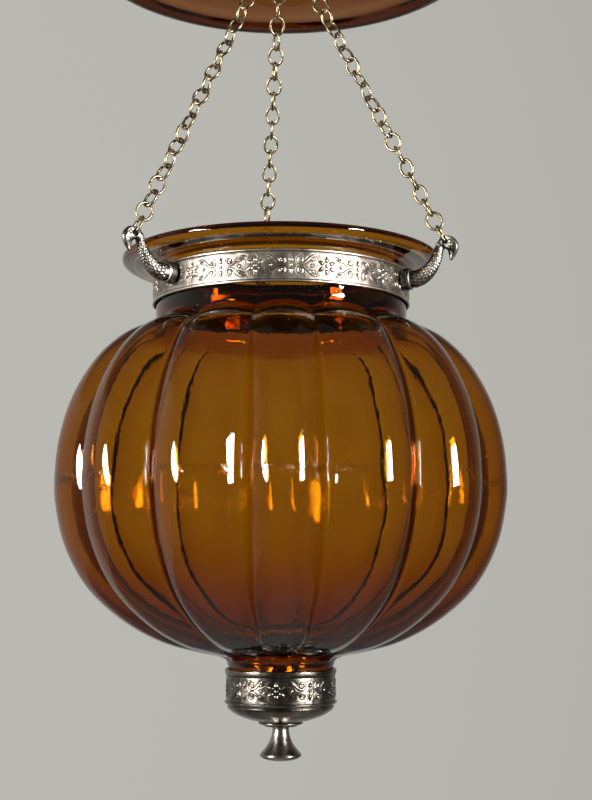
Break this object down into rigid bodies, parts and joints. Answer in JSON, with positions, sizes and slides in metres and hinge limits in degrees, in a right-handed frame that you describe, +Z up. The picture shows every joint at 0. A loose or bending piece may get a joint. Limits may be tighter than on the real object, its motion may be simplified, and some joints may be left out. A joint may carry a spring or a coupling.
{
  "type": "hanging lantern",
  "caption": "Hanging lantern: lobed amber glass bowl with a flared lip in a stamped metal neck band, hung by link chains from bird-head arms under a glass smoke bell.",
  "frame": {"origin": "the point inside the top of the ceiling ring where a ceiling hook bears, at the ring's middle", "axes": "+Z up along the lantern's axis, so the lantern hangs below the origin; the rear arm points along +Y, and the left and right arms 30 degrees in front of -X and +X"},
  "size_m": [0.2674, 0.2675, 0.5975],
  "materials": {
    "amber_glass": "gloss",
    "bell_glass": "gloss",
    "antique_nickel": "antiqued",
    "cast_nickel": "antiqued",
    "chain_brass": "tarnished",
    "brass": "tarnished",
    "steel": "plain",
    "felt": "matte"
  },
  "bodies": {
    "ceiling_ring": {"ceiling_ring": "chain_brass"},
    "rod": {"suspension_rod": "chain_brass", "bell_cap": "brass", "bell_nut": "brass", "bell_washer": "brass", "bell_lock_nut": "brass"},
    "smoke_bell": {"smoke_bell": "bell_glass"},
    "gather": {"gather_ring": "chain_brass"},
    "bowl": {"chain_left_top_link": "chain_brass", "chain_left": "chain_brass", "chain_left_bottom_link": "chain_brass", "chain_right_top_link": "chain_brass", "chain_right": "chain_brass", "chain_right_bottom_link": "chain_brass", "chain_rear_top_link": "chain_brass", "chain_rear": "chain_brass", "chain_rear_bottom_link": "chain_brass", "arm_left": "cast_nickel", "arm_right": "cast_nickel", "arm_rear": "cast_nickel", "neck_band": "antique_nickel", "band_bolt": "antique_nickel", "band_nut": "antique_nickel", "glass_globe": "amber_glass", "bottom_cup": "antique_nickel", "neck_gasket": "felt", "socket_plate": "brass", "candle_socket": "brass", "threaded_rod": "steel", "inner_nut": "steel", "finial_washer": "antique_nickel"},
    "finial": {"finial": "antique_nickel"}
  },
  "joints": [
    {"name": "rod_swing", "type": "hinge", "parent": "ceiling_ring", "child": "rod", "pos_m": [0, 0, -0.0284], "axis": [1, 0, 0], "range_deg": [-30, 30]},
    {"name": "bell_turn", "type": "hinge", "parent": "rod", "child": "smoke_bell", "pos_m": [0, 0, -0.056], "axis": [0, 0, 1], "continuous": true},
    {"name": "gather_swing", "type": "hinge", "parent": "rod", "child": "gather", "pos_m": [0, 0, -0.0805], "axis": [0, 1, 0], "range_deg": [-30, 30]},
    {"name": "bowl_swing", "type": "hinge", "parent": "gather", "child": "bowl", "pos_m": [0, 0, -0.0915], "axis": [1, 0, 0], "range_deg": [-30, 30]},
    {"name": "finial_turn", "type": "hinge", "parent": "bowl", "child": "finial", "pos_m": [0, 0, -0.58], "axis": [0, 0, 1], "continuous": true}
  ]
}
